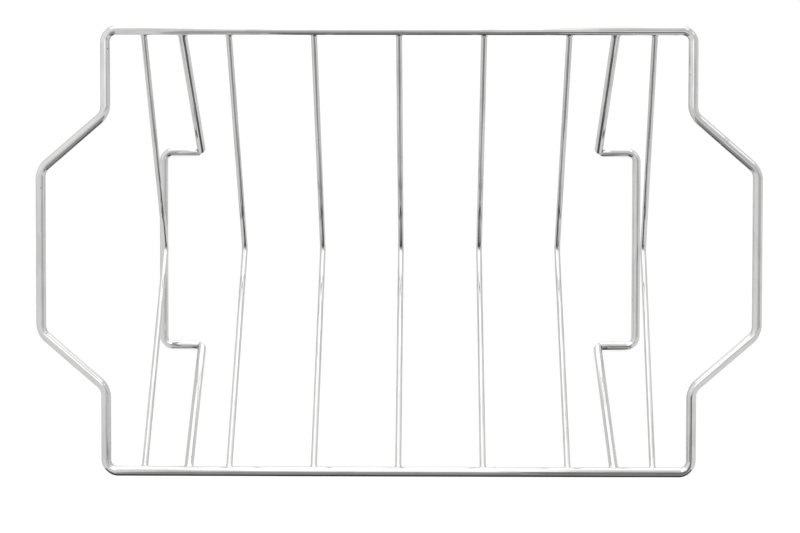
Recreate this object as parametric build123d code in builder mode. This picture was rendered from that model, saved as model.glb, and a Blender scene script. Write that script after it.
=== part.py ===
from build123d import *
import os

# A welded wire rack that cradles a roast over the grill: one heavy frame wire
# bent into a rectangle with a handle ear at each end, V-shaped ribs hung
# between its two rails, and two bent foot wires that it stands on.
# Millimetres. +X runs along the rack, +Y from rail to rail, +Z up.
# The origin is on the ground, in the middle of the rack.
# Lengths are taken between wire centre lines, apart from the overall height.

# Wire gauges
FRAME_WIRE = 6.0
FOOT_WIRE = 5.5
RIB_WIRE = 3.8

# Frame and its handle ears
RACK_HEIGHT = 100.0     # ground to the top of the rails
FRAME_LENGTH = 352.0    # end bar to end bar
FRAME_WIDTH = 265.0     # rail to rail
EAR_REACH = 39.0        # end bar out to the handle bar
EAR_ROOT = 165.0        # ear's width where it leaves the end bars
GRIP_LENGTH = 97.6      # handle bar between its two bends
CORNER_BEND = 7.0       # centre-line radius of the four frame corners
EAR_BEND = 11.0         # centre-line radius of the ear bends

# Ribs
RIB_COUNT = 7
RIB_INSET = 23.0        # end bar to the nearest rib
RIB_BEND = 5.0          # centre-line radius at the point of the V
RIB_CLEARANCE = 0.8     # point of the V above the base bars
RIB_LEAN = 0.8          # the middle ribs lean this far along the rack at their points
END_RIB_LEAN = 6.0      # the last rib is sprung outwards this far at its point

# Feet
LEG_INSET = 46.0        # end bar to the legs
FOOT_REACH = 25.0       # leg out to the base bar
FOOT_LENGTH = 127.0     # base bar between its two corners
LEG_BEND = 3.0          # tight bend from a leg into the foot, centre-line radius
FOOT_BEND = 6.0         # centre-line radius of the base bar's corners
LEG_SET = 3.5           # the front left leg is welded this much nearer the middle

# Heights and half sizes that follow from them
rail_z = RACK_HEIGHT - FRAME_WIRE / 2
foot_z = FOOT_WIRE / 2
rib_point_z = FOOT_WIRE + RIB_CLEARANCE + RIB_WIRE / 2
rail_y = FRAME_WIDTH / 2
end_x = FRAME_LENGTH / 2
grip_x = end_x + EAR_REACH
ear_y = EAR_ROOT / 2
grip_y = GRIP_LENGTH / 2
leg_x = end_x - LEG_INSET
base_x = leg_x + FOOT_REACH
foot_y = FOOT_LENGTH / 2
first_rib_x = RIB_INSET - end_x
rib_pitch = (FRAME_LENGTH - 2 * RIB_INSET) / (RIB_COUNT - 1)
rib_leans = [0] + (RIB_COUNT - 2) * [RIB_LEAN] + [END_RIB_LEAN]

os.makedirs("parts", exist_ok=True)

# Frame: a closed loop of wire, level all round, with no bar across the ears
frame_corners = [
    (-end_x, rail_y),
    (-end_x, ear_y),
    (-grip_x, grip_y),
    (-grip_x, -grip_y),
    (-end_x, -ear_y),
    (-end_x, -rail_y),
    (end_x, -rail_y),
    (end_x, -ear_y),
    (grip_x, -grip_y),
    (grip_x, grip_y),
    (end_x, ear_y),
    (end_x, rail_y),
]
end_bends = [CORNER_BEND] + 4 * [EAR_BEND] + [CORNER_BEND]
with BuildPart() as frame:
    with BuildLine(Plane.XY.offset(rail_z)) as frame_path:
        FilletPolyline(frame_corners, radius=2 * end_bends, close=True)
    with BuildSketch(Plane(frame_path.line @ 0, z_dir=frame_path.line % 0)):
        Circle(FRAME_WIRE / 2)
    sweep(path=frame_path.line)
frame.part.label = "frame"
export_step(frame.part, "parts/frame.step")

# Ribs: each end is cut to the round of its rail, where it is welded on
for number, lean in enumerate(rib_leans, start=1):
    rib_x = first_rib_x + (number - 1) * rib_pitch
    with BuildPart() as rib:
        with BuildLine() as rib_path:
            FilletPolyline(
                (rib_x, rail_y, rail_z),
                (rib_x + lean, 0, rib_point_z),
                (rib_x, -rail_y, rail_z),
                radius=[RIB_BEND],
            )
        with BuildSketch(Plane(rib_path.line @ 0, z_dir=rib_path.line % 0)):
            Circle(RIB_WIRE / 2)
        sweep(path=rib_path.line)
        add(frame.part, mode=Mode.SUBTRACT)
    rib.part.label = f"rib_{number}"
    export_step(rib.part, f"parts/rib_{number}.step")

# Feet: a leg down from each rail, turned outwards into a base bar on the ground
for name, side, front_set in (("left_foot", -1, LEG_SET), ("right_foot", 1, 0)):
    with BuildPart() as foot:
        with BuildLine() as foot_path:
            FilletPolyline(
                (side * leg_x, rail_y, rail_z),
                (side * leg_x, foot_y, foot_z),
                (side * base_x, foot_y, foot_z),
                (side * base_x, -foot_y, foot_z),
                (side * leg_x, -foot_y, foot_z),
                (side * (leg_x - front_set), -rail_y, rail_z),
                radius=[LEG_BEND, FOOT_BEND, FOOT_BEND, LEG_BEND],
            )
        with BuildSketch(Plane(foot_path.line @ 0, z_dir=foot_path.line % 0)):
            Circle(FOOT_WIRE / 2)
        sweep(path=foot_path.line)
        add(frame.part, mode=Mode.SUBTRACT)
    foot.part.label = name
    export_step(foot.part, f"parts/{name}.step")
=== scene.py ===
import math

import bpy
import numpy as np
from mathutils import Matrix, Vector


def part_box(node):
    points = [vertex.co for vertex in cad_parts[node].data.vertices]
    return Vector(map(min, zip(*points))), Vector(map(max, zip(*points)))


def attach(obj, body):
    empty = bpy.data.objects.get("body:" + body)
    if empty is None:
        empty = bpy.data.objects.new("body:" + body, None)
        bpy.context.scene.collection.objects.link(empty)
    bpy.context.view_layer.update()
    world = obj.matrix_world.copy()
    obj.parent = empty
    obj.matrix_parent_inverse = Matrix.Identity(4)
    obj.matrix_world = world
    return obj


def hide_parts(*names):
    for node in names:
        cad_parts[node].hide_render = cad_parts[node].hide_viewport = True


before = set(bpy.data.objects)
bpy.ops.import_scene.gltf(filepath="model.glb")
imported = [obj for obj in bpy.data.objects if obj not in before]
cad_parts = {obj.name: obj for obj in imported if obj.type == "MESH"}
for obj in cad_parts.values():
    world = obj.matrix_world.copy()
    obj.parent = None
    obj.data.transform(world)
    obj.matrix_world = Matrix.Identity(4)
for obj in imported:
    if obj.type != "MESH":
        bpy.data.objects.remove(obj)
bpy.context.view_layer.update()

# A roast rack of chrome-plated wire, in metres, in the frame of the CAD model:
# +X along the rack, +Y from rail to rail, +Z up, the origin on the ground below
# the middle. Every wire is one closed skin: a round section carried along a
# centre line of straight runs and tangent bends.

frame_low, frame_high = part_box("frame")

# Wire gauges, as radii
FRAME_RADIUS = 0.0030
FOOT_RADIUS = 0.00275
RIB_RADIUS = 0.0019

# Frame and its handle ears, between wire centre lines
END_X = 0.1760          # end bars
EAR_ROOT_Y = 0.0825     # where an ear leaves the end bars
GRIP_Y = 0.0488         # where an ear meets its handle bar
CORNER_BEND = 0.0070
EAR_BEND = 0.0110
GRIP_X = frame_high[0] - FRAME_RADIUS
RAIL_Y = frame_high[1] - FRAME_RADIUS
RAIL_Z = (frame_low[2] + frame_high[2]) / 2
BUTT_WELD_SHARE = 0.52  # place of the frame's closing weld along the right back ear bar

# Ribs
RIB_COUNT = 7
RIB_POINT_Z = 0.0082
RIB_BEND = 0.0050

# Feet
LEG_X = 0.1300
BASE_X = 0.1550
FOOT_Y = 0.0635
LEG_BEND = 0.0030
FOOT_BEND = 0.0060
LEG_SET = 0.0035        # the front left leg is welded this much nearer the middle

# How finely a skin is divided
RUN_STEP = 0.006
BEND_STEP = math.radians(2.5)
WELD_STEP = 0.00012
WELD_GROWTH = 1.32
WELD_RINGS = 13
FRAME_SIDES = 56
FOOT_SIDES = 48
RIB_SIDES = 40

# Drawn and bent wire: a bend flattens the section a little and spreads it sideways,
# and a tight bend also draws in its outer side
BEND_FLATTENING = 0.045
BEND_SPREADING = 0.030
BEND_DRAW_IN = 0.30
TIGHT_POWER = 3.0
KINK_DEPTH = 0.34
KINK_WIDTH = math.radians(13.0)

# Welds: a small concave collar where a rib or leg meets its rail
COLLAR_HEIGHT = 0.30    # share of the wire's radius
COLLAR_LENGTH = 1.10    # in wire radii
COLLAR_UNEVEN = 0.22
SLOW_WAVES, SLOW_SHARE = 2.0, 0.6       # waves round a collar, and their share of its unevenness
QUICK_WAVES, QUICK_SHARE = 5.0, 0.4
COLLAR_LIMIT = 0.95     # of the rail's radius, the most that a collar reaches across the rail
COLLAR_SINK = 0.00015   # how far the collar's rim goes into the rail
COPE_FADE = 0.0080      # length over which the saddle shape of an end fades out
BUTT_RIDGE = 0.00009
BUTT_WIDTH = 0.0011

WIRE_APART = 1.7        # keeps the plating's pattern different from wire to wire

rng = np.random.default_rng(7)


def unit(vector):
    """The vector divided by its length."""
    return vector / np.linalg.norm(vector)


def turned(vector, axis, angles):
    """Rodrigues' formula: the vector turned about the axis by each of the angles."""
    cosine = np.cos(angles)[:, None]
    sine = np.sin(angles)[:, None]
    across = np.cross(axis, vector)
    return vector * cosine + across * sine + axis * np.dot(axis, vector) * (1.0 - cosine)


def run_stations(length, crowd_start, crowd_end):
    """Distances along a straight run: even steps, and near a weld steps that grow by a fixed ratio."""
    crowd = WELD_STEP * (WELD_GROWTH ** np.arange(WELD_RINGS) - 1.0) / (WELD_GROWTH - 1.0)
    low = crowd[-1] if crowd_start else 0.0
    high = length - crowd[-1] if crowd_end else length
    count = max(2, math.ceil((high - low) / RUN_STEP) + 1)
    head = crowd[:-1] if crowd_start else crowd[:0]
    tail = (length - crowd[:-1])[::-1] if crowd_end else crowd[:0]
    return np.concatenate([head, np.linspace(low, high, count), tail])


def bent_route(corners, bends):
    """Centre line of a bent wire: straight runs joined by arcs that touch both.

    An arc begins its radius times the tangent of half the turn before the corner.
    At angle a its point is centre + radius * (sin a * ahead - cos a * inward), and
    the direction is cos a * ahead + sin a * inward. The ring's own axis is turned
    with the arc about the bend's axis, so that the section never twists.
    """
    corners = np.asarray(corners, dtype=float)
    runs = np.diff(corners, axis=0)
    lengths = np.linalg.norm(runs, axis=1)
    ahead = runs / lengths[:, None]
    turns = np.arccos(np.sum(ahead[:-1] * ahead[1:], axis=1))
    trims = np.concatenate([[0.0], np.asarray(bends) * np.tan(turns / 2), [0.0]])
    last = len(runs) - 1
    side = unit(np.cross(ahead[0], ahead[np.argmax(turns > 0) + 1]))
    points, directions, sides, inwards, bent, kinked, curved = [], [], [], [], [], [], []
    for i in range(last + 1):
        along = run_stations(lengths[i] - trims[i] - trims[i + 1], i == 0, i == last)
        start = corners[i] + ahead[i] * trims[i]
        points.append(start + along[:, None] * ahead[i])
        directions.append(np.broadcast_to(ahead[i], (len(along), 3)))
        sides.append(np.broadcast_to(side, (len(along), 3)))
        inwards.append(np.zeros((len(along), 3)))
        bent.append(np.zeros(len(along)))
        kinked.append(np.zeros(len(along)))
        curved.append(np.zeros(len(along)))
        if i == last:
            break
        turn = turns[i]
        inward = unit(ahead[i + 1] - ahead[i] * math.cos(turn))
        axis = np.cross(ahead[i], inward)
        angles = np.linspace(0.0, turn, math.ceil(turn / BEND_STEP) + 1)[1:-1]
        centre = corners[i + 1] - ahead[i] * trims[i + 1] + inward * bends[i]
        toward = turned(inward, axis, angles)
        points.append(centre - toward * bends[i])
        directions.append(turned(ahead[i], axis, angles))
        sides.append(turned(side, axis, angles))
        inwards.append(toward)
        bent.append(np.sin(np.pi * angles / turn))
        kinked.append(np.exp(-((angles - turn / 2) / KINK_WIDTH) ** 2))
        curved.append(np.full(len(angles), 1.0 / bends[i]))
        side = turned(side, axis, np.array([turn]))[0]
    points = np.concatenate(points)
    steps = np.linalg.norm(np.diff(points, axis=0), axis=1)
    return {
        "points": points,
        "directions": np.concatenate(directions),
        "sides": np.concatenate(sides),
        "inwards": np.concatenate(inwards),
        "bent": np.concatenate(bent),
        "kinked": np.concatenate(kinked),
        "curved": np.concatenate(curved),
        "distance": np.concatenate([[0.0], np.cumsum(steps)]),
    }


def uneven_ring(angles, amount):
    """A closed ring's height, about 1: a slow and a quick wave round it, with seeded phases."""
    first, second = rng.uniform(0.0, 2.0 * np.pi, 2)
    slow = SLOW_SHARE * np.sin(SLOW_WAVES * angles + first)
    quick = QUICK_SHARE * np.sin(QUICK_WAVES * angles + second)
    return 1.0 + amount * (slow + quick)


def ring_spokes(route, sides):
    """Unit vectors from the centre line to the skin: side * cos(angle) + up * sin(angle)."""
    angles = np.linspace(0.0, 2.0 * np.pi, sides, endpoint=False)
    side = route["sides"][:, None, :]
    up = np.cross(route["directions"], route["sides"])[:, None, :]
    return angles, side * np.cos(angles)[None, :, None] + up * np.sin(angles)[None, :, None]


def bend_section(route, spokes, radius):
    """Share by which a spoke is longer or shorter in a bend: spread sideways, flattened inwards.

    In a tight bend, by (wire radius / bend radius) cubed, the outer side is also drawn in,
    as the square of the distance from the inner side, and the middle is kinked all round.
    """
    lean = np.sum(spokes * route["inwards"][:, None, :], axis=2)
    share = BEND_SPREADING - (BEND_SPREADING + BEND_FLATTENING) * lean ** 2
    tight = (radius * route["curved"]) ** TIGHT_POWER
    share = share - BEND_DRAW_IN * tight[:, None] * ((1.0 - lean) / 2.0) ** 2
    return route["bent"][:, None] * share - KINK_DEPTH * (tight * route["kinked"])[:, None]


def cope_shift(spokes, reach, direction, radius):
    """How far along the wire each spoke's line meets the rail's round, measured from its axis.

    A line at the spoke's offset, parallel to the wire, leaves the cylinder of the rail
    where offset squared + 2 t offset.direction + t squared equals the rail's radius
    squared, all taken across the rail (Y and Z); this is the later root.
    """
    offset = spokes[:, 1:] * reach[:, None]
    across = direction[1:]
    square = np.dot(across, across)
    mixed = offset @ across
    rest = np.sum(offset ** 2, axis=1) - radius ** 2
    return (-mixed + np.sqrt(np.maximum(mixed ** 2 - square * rest, 0.0))) / square


def welded_skin(route, radius, sides):
    """Skin of a wire welded to a rail at both ends.

    The radius grows towards an end as collar * (1 - distance / collar length) squared.
    Across the rail the collar stays within the rail's own round, and it is full along
    the rail. The rings there are pushed along the wire so that the last one follows the
    rail's round, a push that fades out as (1 - distance / fade) squared.
    """
    angles, spokes = ring_spokes(route, sides)
    reach = radius * (1.0 + bend_section(route, spokes, radius))
    push = np.zeros_like(reach)
    spare = COLLAR_LIMIT * FRAME_RADIUS - radius
    total = route["distance"][-1]
    for sign, ring, away in ((1.0, 0, route["distance"]), (-1.0, -1, total - route["distance"])):
        level = spokes[ring][:, 0] ** 2
        height = COLLAR_HEIGHT * radius * level + min(COLLAR_HEIGHT * radius, spare) * (1.0 - level)
        collar = height * uneven_ring(angles, COLLAR_UNEVEN)
        grown = np.clip(1.0 - away / (COLLAR_LENGTH * radius), 0.0, 1.0) ** 2
        reach = reach + grown[:, None] * collar[None, :]
        met = cope_shift(spokes[ring], reach[ring], sign * route["directions"][ring], FRAME_RADIUS)
        fade = np.clip(1.0 - away / COPE_FADE, 0.0, 1.0) ** 2
        push = push + sign * fade[:, None] * (met - FRAME_RADIUS - COLLAR_SINK)[None, :]
    skin = route["points"][:, None, :] + spokes * reach[:, :, None]
    skin = skin + push[:, :, None] * route["directions"][:, None, :]
    return angles, skin


def looped_skin(route, radius, sides):
    """Skin of the closed frame wire, whose ends meet in a low weld.

    The weld's height is ridge * exp(-(distance / width) squared).
    """
    angles, spokes = ring_spokes(route, sides)
    away = np.minimum(route["distance"], route["distance"][-1] - route["distance"])
    ridge = BUTT_RIDGE * np.exp(-(away / BUTT_WIDTH) ** 2)
    reach = radius * (1.0 + bend_section(route, spokes, radius)) + ridge[:, None]
    return angles, route["points"][:, None, :] + spokes * reach[:, :, None]


def put_wire(name, node, number, route, angles, skin, radius, closed):
    """Makes the skin's grid a mesh: quads between rings, and at an open end a fan to a pole.

    The attribute wire_place holds where a corner lies on the wire if it were pulled
    straight: distance along it, then radius * cos(angle) and radius * sin(angle).
    """
    rings, sides = skin.shape[:2]
    used = rings - 1 if closed else rings
    grid = np.arange(rings * sides).reshape(rings, sides)
    low, high = grid[:-1], grid[1:]
    quads = np.stack([low, np.roll(low, -1, 1), np.roll(high, -1, 1), high], axis=2).reshape(-1, 4)
    place = np.empty((rings, sides, 3))
    place[:, :, 0] = route["distance"][:, None] + number * WIRE_APART
    place[:, :, 1] = radius * np.cos(angles)[None, :]
    place[:, :, 2] = radius * np.sin(angles)[None, :]
    place = place.reshape(-1, 3)
    corner_places = [place[quads].reshape(-1, 3)]
    vertices = skin[:used].reshape(-1, 3)
    faces = (quads % (used * sides)).tolist()
    if not closed:
        first, final = grid[0], grid[-1]
        poles = np.stack([skin[0].mean(axis=0), skin[-1].mean(axis=0)])
        pole = len(vertices)
        vertices = np.concatenate([vertices, poles])
        fans = np.concatenate([
            np.stack([np.full(sides, pole), np.roll(first, -1), first], axis=1),
            np.stack([np.full(sides, pole + 1), final, np.roll(final, -1)], axis=1),
        ])
        faces += fans.tolist()
        hubs = np.stack([place[first].mean(axis=0), place[final].mean(axis=0)])
        corner_places.append(np.concatenate([place, hubs])[fans].reshape(-1, 3))
    mesh = bpy.data.meshes.new(name)
    mesh.from_pydata(vertices.tolist(), [], faces)
    mesh.polygons.foreach_set("use_smooth", np.ones(len(faces), dtype=bool))
    attribute = mesh.attributes.new("wire_place", "FLOAT_VECTOR", "CORNER")
    attribute.data.foreach_set("vector", np.concatenate(corner_places).astype(np.float32).ravel())
    mesh.update()
    mesh.validate()
    piece = bpy.data.objects.new(name, mesh)
    bpy.context.scene.collection.objects.link(piece)
    piece.data.materials.append(chrome_wire)
    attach(piece, "root")
    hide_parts(node)
    return piece


# Material: chrome plate over drawn steel wire

CHROME = (0.605, 0.605, 0.602, 1.0)
CHROME_DULL = (0.535, 0.535, 0.532, 1.0)
PIT_GREY = (0.090, 0.088, 0.082, 1.0)
ROUGH_CLEAN = 0.055
ROUGH_HAZY = 0.130
ROUGH_PIT = 0.420
HAZE_SCALE = (55.0, 260.0, 260.0)       # cycles per metre along and across the wire
RIPPLE_SCALE = (150.0, 420.0, 420.0)
STREAK_SCALE = (38.0, 4200.0, 4200.0)
PIT_SCALE = (520.0, 620.0, 620.0)
RIPPLE_DEPTH = 0.00002
STREAK_DEPTH = 0.0000035
PIT_DEPTH = 0.00004
HAZE_FROM, HAZE_TO = 0.42, 0.72         # values of the noise between which haze or a pit comes in
PIT_FROM, PIT_TO = 0.775, 0.815
HAZE_DETAIL = 3.0
RIPPLE_DETAIL = 1.0
STREAK_DETAIL = 2.0
PIT_DETAIL = 1.0
MIX_SOCKETS = {"RGBA": (6, 7, 2), "FLOAT": (2, 3, 0)}   # a Mix node's two inputs and its output


def node(tree, kind, **settings):
    """A new node of that kind, with its properties set by name."""
    made = tree.nodes.new(kind)
    for key, value in settings.items():
        setattr(made, key, value)
    return made


def wire_noise(tree, place, scale, detail):
    """Noise in the straightened wire's space, stretched by three scales; returns its 0..1 output."""
    mapping = node(tree, "ShaderNodeMapping")
    mapping.inputs["Scale"].default_value = scale
    tree.links.new(place, mapping.inputs["Vector"])
    noise = node(tree, "ShaderNodeTexNoise")
    noise.inputs["Scale"].default_value = 1.0
    noise.inputs["Detail"].default_value = detail
    tree.links.new(mapping.outputs["Vector"], noise.inputs["Vector"])
    return noise.outputs["Fac"]


def ranged(tree, value, low, high, to_low, to_high):
    """The value moved from one range to another, smoothly and clamped."""
    mapped = node(tree, "ShaderNodeMapRange", interpolation_type="SMOOTHSTEP")
    mapped.inputs["From Min"].default_value = low
    mapped.inputs["From Max"].default_value = high
    mapped.inputs["To Min"].default_value = to_low
    mapped.inputs["To Max"].default_value = to_high
    tree.links.new(value, mapped.inputs["Value"])
    return mapped.outputs["Result"]


def mixed(tree, kind, factor, first, second):
    """A mix of two colours or numbers, each given as a value or as a socket."""
    mix = node(tree, "ShaderNodeMix", data_type=kind)
    first_socket, second_socket, result = MIX_SOCKETS[kind]
    tree.links.new(factor, mix.inputs[0])
    for socket, value in ((first_socket, first), (second_socket, second)):
        if isinstance(value, bpy.types.NodeSocket):
            tree.links.new(value, mix.inputs[socket])
        else:
            mix.inputs[socket].default_value = value
    return mix.outputs[result]


def bumped(tree, height, depth, under):
    """A bump of that depth in metres, on top of another bump's normal if there is one."""
    bump = node(tree, "ShaderNodeBump")
    bump.inputs["Strength"].default_value = 1.0
    bump.inputs["Distance"].default_value = depth
    tree.links.new(height, bump.inputs["Height"])
    if under is not None:
        tree.links.new(under, bump.inputs["Normal"])
    return bump.outputs["Normal"]


def make_chrome_wire():
    """Bright plate with hazy patches, slow ripples, drawing lines along the wire and a few pits."""
    material = bpy.data.materials.new("chrome_wire")
    material.use_nodes = True
    tree = material.node_tree
    shader = tree.nodes["Principled BSDF"]
    shader.inputs["Metallic"].default_value = 1.0
    place = node(tree, "ShaderNodeAttribute", attribute_name="wire_place").outputs["Vector"]
    haze = ranged(tree, wire_noise(tree, place, HAZE_SCALE, HAZE_DETAIL), HAZE_FROM, HAZE_TO, 0.0, 1.0)
    ripple = wire_noise(tree, place, RIPPLE_SCALE, RIPPLE_DETAIL)
    streak = wire_noise(tree, place, STREAK_SCALE, STREAK_DETAIL)
    pit = ranged(tree, wire_noise(tree, place, PIT_SCALE, PIT_DETAIL), PIT_FROM, PIT_TO, 0.0, 1.0)
    plate = mixed(tree, "RGBA", haze, CHROME, CHROME_DULL)
    tree.links.new(mixed(tree, "RGBA", pit, plate, PIT_GREY), shader.inputs["Base Color"])
    rough = mixed(tree, "FLOAT", haze, ROUGH_CLEAN, ROUGH_HAZY)
    tree.links.new(mixed(tree, "FLOAT", pit, rough, ROUGH_PIT), shader.inputs["Roughness"])
    normal = bumped(tree, ripple, RIPPLE_DEPTH, None)
    normal = bumped(tree, streak, STREAK_DEPTH, normal)
    normal = bumped(tree, pit, -PIT_DEPTH, normal)
    tree.links.new(normal, shader.inputs["Normal"])
    return material


chrome_wire = make_chrome_wire()

# Frame wire: it starts and ends at the closing weld on the right back ear bar
right_back_ear = [(GRIP_X, GRIP_Y, RAIL_Z), (END_X, EAR_ROOT_Y, RAIL_Z)]
butt_weld = tuple(np.array(right_back_ear[0]) * (1.0 - BUTT_WELD_SHARE)
                  + np.array(right_back_ear[1]) * BUTT_WELD_SHARE)
frame_corners = [
    butt_weld,
    (END_X, EAR_ROOT_Y, RAIL_Z),
    (END_X, RAIL_Y, RAIL_Z),
    (-END_X, RAIL_Y, RAIL_Z),
    (-END_X, EAR_ROOT_Y, RAIL_Z),
    (-GRIP_X, GRIP_Y, RAIL_Z),
    (-GRIP_X, -GRIP_Y, RAIL_Z),
    (-END_X, -EAR_ROOT_Y, RAIL_Z),
    (-END_X, -RAIL_Y, RAIL_Z),
    (END_X, -RAIL_Y, RAIL_Z),
    (END_X, -EAR_ROOT_Y, RAIL_Z),
    (GRIP_X, -GRIP_Y, RAIL_Z),
    (GRIP_X, GRIP_Y, RAIL_Z),
    butt_weld,
]
frame_bends = [EAR_BEND] + 2 * [CORNER_BEND] + 4 * [EAR_BEND] + 2 * [CORNER_BEND] + 3 * [EAR_BEND]
frame_route = bent_route(frame_corners, frame_bends)
frame_angles, frame_skin = looped_skin(frame_route, FRAME_RADIUS, FRAME_SIDES)
put_wire("frame_wire", "frame", 0, frame_route, frame_angles, frame_skin, FRAME_RADIUS, True)


def from_rail(rail_point, next_point):
    """The point on a rail's round from which a wire leaves the rail's centre for the next point."""
    rail_point = np.array(rail_point)
    return rail_point + unit(np.array(next_point) - rail_point) * FRAME_RADIUS


# Ribs: from rail to rail, hanging in a V; the box gives their place along the rack
for number in range(1, RIB_COUNT + 1):
    rib_low, rib_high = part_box(f"rib_{number}")
    rail_x = rib_low[0] + RIB_RADIUS
    point = (rib_high[0] - RIB_RADIUS, 0.0, RIB_POINT_Z)
    rib_corners = [
        from_rail((rail_x, RAIL_Y, RAIL_Z), point),
        point,
        from_rail((rail_x, -RAIL_Y, RAIL_Z), point),
    ]
    rib_route = bent_route(rib_corners, [RIB_BEND])
    rib_angles, rib_skin = welded_skin(rib_route, RIB_RADIUS, RIB_SIDES)
    put_wire(f"rib_wire_{number}", f"rib_{number}", number, rib_route, rib_angles, rib_skin,
             RIB_RADIUS, False)

# Feet: a leg from each rail, turned outwards into the base bar
feet = (("left_foot", -1.0, LEG_SET), ("right_foot", 1.0, 0.0))
for number, (name, way, front_set) in enumerate(feet, start=RIB_COUNT + 1):
    knee_back = (way * LEG_X, FOOT_Y, FOOT_RADIUS)
    knee_front = (way * LEG_X, -FOOT_Y, FOOT_RADIUS)
    foot_corners = [
        from_rail((way * LEG_X, RAIL_Y, RAIL_Z), knee_back),
        knee_back,
        (way * BASE_X, FOOT_Y, FOOT_RADIUS),
        (way * BASE_X, -FOOT_Y, FOOT_RADIUS),
        knee_front,
        from_rail((way * (LEG_X - front_set), -RAIL_Y, RAIL_Z), knee_front),
    ]
    foot_route = bent_route(foot_corners, [LEG_BEND, FOOT_BEND, FOOT_BEND, LEG_BEND])
    foot_angles, foot_skin = welded_skin(foot_route, FOOT_RADIUS, FOOT_SIDES)
    put_wire(f"{name}_wire", name, number, foot_route, foot_angles, foot_skin, FOOT_RADIUS, False)


# Studio: a white surround and a pale floor, with soft boxes and cards that only the chrome shows

WHITE = (1.0, 1.0, 1.0, 1.0)
FLOOR_PALE = (0.80, 0.80, 0.80, 1.0)
FLOOR_HALF = 6.0
FLOOR_GLOW = 0.64
AMBIENT = 0.42
KEY_PLACE = (0.15, 0.35, 1.6)
KEY_SIZE = 1.2
KEY_POWER = 3.0
OVAL_POINTS = 64

# Front: grey and dark cards on a plane that leans away from the rack towards the ground. The lowest
# hangs below the floor, where a glossy table would show the front's image.
FRONT_Y, FRONT_TOP, FRONT_LEAN = -0.123, 0.65, 0.26
FRONT_LEFT, FRONT_RIGHT = -0.20, 0.10
FRONT_LOW, FRONT_HIGH = 0.20, 0.45
FRONT_DARK = 0.43
SIDE_RIGHT, SIDE_DARK = 0.28, 0.28
UNDER_X, UNDER_FADE, UNDER_DARK = (-0.11, 0.13), (0.08, 0.18), 0.26
HEAD_RIGHT, HEAD_GREY = 0.07, 0.72
IMAGE_X, IMAGE_LOW, IMAGE_DARK = (-0.115, 0.19), -0.60, 0.13

# Dark strips along the front, which draw the lower edges of the wires, and a level patch at the right
LIP_Y, LIP_Z, LIP_DARK = -0.255, (0.02, 0.10), 0.03
RAIL_LIP_HALF, RAIL_LIP_Y, RAIL_LIP_Z = 0.19, -0.142, (0.090, 0.1085)
RAIL_LIP_FADE, RAIL_LIP_DARK, RAIL_LIP_GREY = (0.096, 0.108), 0.03, 0.42
PATCH_X, PATCH_Y, PATCH_Z, PATCH_DARK = (0.09, 0.225), (-0.165, -0.105), 0.35, 0.25

# Soft boxes: an oval one above the back half, and behind it a bright wall, which is paler at its
# upper right, goes on below the floor and sweeps forwards there
SOFT_WHITE = 1.9
TOP_CENTRE, TOP_HALF_X, TOP_HALF_Y = (-0.03, 0.81, 1.12), 0.28, 0.71
BACK_Y, BACK_HALF = 0.85, 0.65
BACK_LOW, BACK_MIDDLE, BACK_TOP = 0.03, 0.52, 1.10
PALE_LEFT, PALE_RIGHT, PALE_WHITE = 0.18, 0.48, 1.2
BELOW_HALF, BELOW_LOW, BELOW_TOP = 0.42, -0.30, -0.01
SWEEP_HALF, SWEEP_Y = 0.34, 0.31
RIGHT_BOX_X, RIGHT_BOX_Y, RIGHT_BOX_Z, RIGHT_BOX_WHITE = (0.90, 1.10), 0.80, (0.25, 1.02), 1.7

# Slanted cards at both sides, their edges given in X and Z, and the table top as the chrome sees it
RIGHT_INNER, RIGHT_OUTER, RIGHT_Y = (0.24, 1.13), (0.95, 0.45), (-0.12, 0.50)
RIGHT_FADE, RIGHT_GREY, RIGHT_LIGHT = (0.0, 0.35), 0.66, 0.9
LEFT_OUTER, LEFT_INNER, LEFT_Y = (-0.95, 0.0), (-0.35, 1.13), (-0.75, 0.85)
LEFT_FADE, LEFT_LIGHT, LEFT_WHITE = (0.0, 0.25), 1.02, 1.2
TABLE_HALF, TABLE_Z, TABLE_PALE = 2.0, -0.62, 0.93


def stage_card(name, points, material):
    """A flat stage card through the points, taken in order round its edge."""
    mesh = bpy.data.meshes.new(name)
    mesh.from_pydata(np.asarray(points, dtype=float).tolist(), [], [tuple(range(len(points)))])
    card = bpy.data.objects.new(name, mesh)
    bpy.context.scene.collection.objects.link(card)
    card.data.materials.append(material)
    return card


def level_card(name, ends_x, ends_y, z, material):
    """A level stage card between two values of X and two of Y."""
    (left, right), (front, back) = ends_x, ends_y
    points = [(left, front, z), (right, front, z), (right, back, z), (left, back, z)]
    return stage_card(name, points, material)


def upright_card(name, ends_x, y, ends_z, material):
    """An upright stage card at one value of Y, between two values of X and two of Z."""
    (left, right), (low, high) = ends_x, ends_z
    points = [(left, y, low), (right, y, low), (right, y, high), (left, y, high)]
    return stage_card(name, points, material)


def slanted_card(name, first, second, ends_y, material):
    """A stage card between two edges along Y, each given by its X and Z."""
    front, back = ends_y
    points = [(first[0], front, first[1]), (first[0], back, first[1]),
              (second[0], back, second[1]), (second[0], front, second[1])]
    return stage_card(name, points, material)


def front_card(name, ends_x, ends_z, material):
    """A stage card on the front plane, whose Y falls by a fixed share of the depth below its top."""
    (left, right), (low, high) = ends_x, ends_z
    corners = np.array([(left, high), (right, high), (right, low), (left, low)])
    depth = FRONT_TOP - corners[:, 1]
    points = np.stack([corners[:, 0], FRONT_Y - depth * FRONT_LEAN, corners[:, 1]], axis=1)
    return stage_card(name, points, material)


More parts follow.
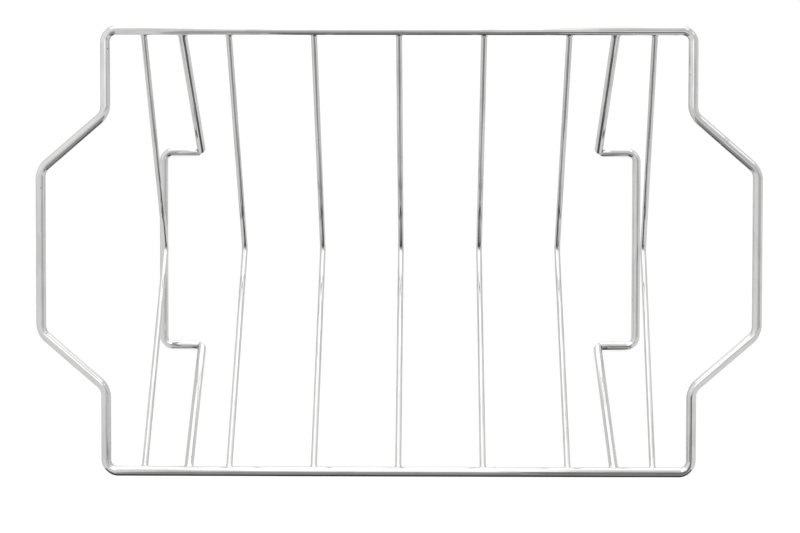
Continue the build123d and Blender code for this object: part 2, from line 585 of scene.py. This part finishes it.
def oval_card(name, centre, half_x, half_y, material):
    """A level oval stage card: centre + (half_x * cos a, half_y * sin a, 0)."""
    angles = np.linspace(0.0, 2.0 * np.pi, OVAL_POINTS, endpoint=False)
    rim = np.stack([half_x * np.cos(angles), half_y * np.sin(angles), 0.0 * angles], axis=1)
    return stage_card(name, np.array(centre) + rim, material)


def chrome_only(card):
    """The card shows in reflections alone."""
    card.visible_camera = False
    card.visible_diffuse = False
    card.visible_transmission = False
    card.visible_volume_scatter = False
    card.visible_shadow = False


def glow(name, level):
    """An even glow of that level, where 1 is white."""
    material = bpy.data.materials.new(name)
    material.use_nodes = True
    tree = material.node_tree
    tree.nodes.clear()
    emission = node(tree, "ShaderNodeEmission")
    emission.inputs["Strength"].default_value = level
    out = node(tree, "ShaderNodeOutputMaterial")
    tree.links.new(emission.outputs[0], out.inputs["Surface"])
    return material


def graded_glow(name, axis, low, high, low_level, high_level):
    """A glow that changes smoothly from one level to another along an axis of the frame."""
    material = glow(name, 1.0)
    tree = material.node_tree
    emission = next(n for n in tree.nodes if n.type == "EMISSION")
    coordinates = node(tree, "ShaderNodeTexCoord")
    split = node(tree, "ShaderNodeSeparateXYZ")
    tree.links.new(coordinates.outputs["Object"], split.inputs[0])
    level = ranged(tree, split.outputs[axis], low, high, low_level, high_level)
    tree.links.new(level, emission.inputs["Strength"])
    return material


def seen_share(tree):
    """1 for camera, glossy and transmission rays, 0 for the others."""
    path = node(tree, "ShaderNodeLightPath")
    total = path.outputs["Is Camera Ray"]
    for other in ("Is Glossy Ray", "Is Transmission Ray"):
        greatest = node(tree, "ShaderNodeMath", operation="MAXIMUM")
        tree.links.new(total, greatest.inputs[0])
        tree.links.new(path.outputs[other], greatest.inputs[1])
        total = greatest.outputs[0]
    return total


def make_floor_pale():
    """Pale floor: a diffuse sheet, with a white glow added where it is seen."""
    material = bpy.data.materials.new("floor_pale")
    material.use_nodes = True
    tree = material.node_tree
    tree.nodes.clear()
    diffuse = node(tree, "ShaderNodeBsdfDiffuse")
    diffuse.inputs["Color"].default_value = FLOOR_PALE
    emission = node(tree, "ShaderNodeEmission")
    emission.inputs["Color"].default_value = WHITE
    scaled = node(tree, "ShaderNodeMath", operation="MULTIPLY")
    scaled.inputs[1].default_value = FLOOR_GLOW
    tree.links.new(seen_share(tree), scaled.inputs[0])
    tree.links.new(scaled.outputs[0], emission.inputs["Strength"])
    both = node(tree, "ShaderNodeAddShader")
    tree.links.new(diffuse.outputs[0], both.inputs[0])
    tree.links.new(emission.outputs[0], both.inputs[1])
    out = node(tree, "ShaderNodeOutputMaterial")
    tree.links.new(both.outputs[0], out.inputs["Surface"])
    return material


def make_world():
    """White where it is seen, plain ambient light elsewhere."""
    world = bpy.data.worlds.new("white_studio")
    world.use_nodes = True
    tree = world.node_tree
    background = tree.nodes["Background"]
    background.inputs["Color"].default_value = WHITE
    level = ranged(tree, seen_share(tree), 0.0, 1.0, AMBIENT, 1.0)
    tree.links.new(level, background.inputs["Strength"])
    bpy.context.scene.world = world


make_world()
floor = level_card("floor", (-FLOOR_HALF, FLOOR_HALF), (-FLOOR_HALF, FLOOR_HALF), 0.0, make_floor_pale())
floor.visible_glossy = False

# Front cards, strips and patch
chrome_only(front_card("front_card", (FRONT_LEFT, FRONT_RIGHT), (FRONT_LOW, FRONT_HIGH),
                       glow("front_dark", FRONT_DARK)))
chrome_only(front_card("front_side", (FRONT_RIGHT, SIDE_RIGHT), (FRONT_LOW, FRONT_HIGH),
                       glow("front_side_dark", SIDE_DARK)))
chrome_only(front_card("front_foot", UNDER_X, (0.0, FRONT_LOW),
                       graded_glow("front_foot_dark", "Z", *UNDER_FADE, UNDER_DARK, FRONT_DARK)))
chrome_only(upright_card("front_lip", (FRONT_LEFT, SIDE_RIGHT), LIP_Y, LIP_Z, glow("lip_dark", LIP_DARK)))
chrome_only(upright_card("rail_lip", (-RAIL_LIP_HALF, RAIL_LIP_HALF), RAIL_LIP_Y, RAIL_LIP_Z,
                         graded_glow("rail_lip_dark", "Z", *RAIL_LIP_FADE, RAIL_LIP_DARK, RAIL_LIP_GREY)))
chrome_only(level_card("right_patch", PATCH_X, PATCH_Y, PATCH_Z, glow("patch_dark", PATCH_DARK)))
chrome_only(front_card("front_head", (FRONT_LEFT, HEAD_RIGHT), (FRONT_HIGH, FRONT_TOP),
                       glow("front_grey", HEAD_GREY)))
chrome_only(front_card("front_image", IMAGE_X, (IMAGE_LOW, 0.0), glow("front_image_dark", IMAGE_DARK)))

# Soft boxes above and behind
chrome_only(oval_card("top_box", TOP_CENTRE, TOP_HALF_X, TOP_HALF_Y, glow("top_white", SOFT_WHITE)))
chrome_only(upright_card("back_box", (-BACK_HALF, BACK_HALF), BACK_Y, (BACK_LOW, BACK_MIDDLE),
                         glow("back_white", SOFT_WHITE)))
chrome_only(upright_card("back_upper", (-BACK_HALF, PALE_LEFT), BACK_Y, (BACK_MIDDLE, BACK_TOP),
                         glow("upper_white", SOFT_WHITE)))
chrome_only(upright_card("back_right", (PALE_LEFT, PALE_RIGHT), BACK_Y, (BACK_MIDDLE, BACK_TOP),
                         glow("back_pale", PALE_WHITE)))
chrome_only(upright_card("back_corner", (PALE_RIGHT, BACK_HALF), BACK_Y, (BACK_MIDDLE, BACK_TOP),
                         glow("corner_white", SOFT_WHITE)))
chrome_only(upright_card("back_low", (-BELOW_HALF, BELOW_HALF), BACK_Y, (BELOW_LOW, BELOW_TOP),
                         glow("low_white", SOFT_WHITE)))
chrome_only(level_card("back_sweep", (-SWEEP_HALF, SWEEP_HALF), (SWEEP_Y, BACK_Y), BELOW_LOW,
                       glow("sweep_white", SOFT_WHITE)))
chrome_only(upright_card("right_box", RIGHT_BOX_X, RIGHT_BOX_Y, RIGHT_BOX_Z,
                         glow("right_white", RIGHT_BOX_WHITE)))

# Side cards and table top
chrome_only(slanted_card("right_card", RIGHT_INNER, RIGHT_OUTER, RIGHT_Y,
                         graded_glow("right_grey", "Y", *RIGHT_FADE, RIGHT_GREY, RIGHT_LIGHT)))
chrome_only(slanted_card("left_card", LEFT_OUTER, LEFT_INNER, LEFT_Y,
                         graded_glow("left_light", "Y", *LEFT_FADE, LEFT_LIGHT, LEFT_WHITE)))
chrome_only(level_card("table_card", (-TABLE_HALF, TABLE_HALF), (-TABLE_HALF, TABLE_HALF), TABLE_Z,
                       glow("table_pale", TABLE_PALE)))

key = bpy.data.lights.new("key", "AREA")
key.shape = "SQUARE"
key.size = KEY_SIZE
key.energy = KEY_POWER
key_lamp = bpy.data.objects.new("key", key)
key_lamp.location = KEY_PLACE
key_lamp.visible_glossy = False
key_lamp.visible_camera = False
bpy.context.scene.collection.objects.link(key_lamp)

# Camera: nearly straight above, with the small tilts that the view has
CAMERA_PLACE = (0.00833, 0.02021, 1.09244)
CAMERA_PITCH = math.radians(1.671)
CAMERA_YAW = math.radians(-0.4284)
CAMERA_ROLL = math.radians(-0.1221)
LENS = 74.653
SENSOR_WIDTH = 36.0

camera_data = bpy.data.cameras.new("camera")
camera_data.sensor_width = SENSOR_WIDTH
camera_data.sensor_fit = "HORIZONTAL"
camera_data.lens = LENS
camera = bpy.data.objects.new("camera", camera_data)
camera.location = CAMERA_PLACE
camera.rotation_mode = "ZYX"
camera.rotation_euler = (-CAMERA_PITCH, -CAMERA_YAW, -CAMERA_ROLL)
bpy.context.scene.collection.objects.link(camera)
bpy.context.scene.camera = camera
bpy.context.scene.view_settings.view_transform = "Standard"
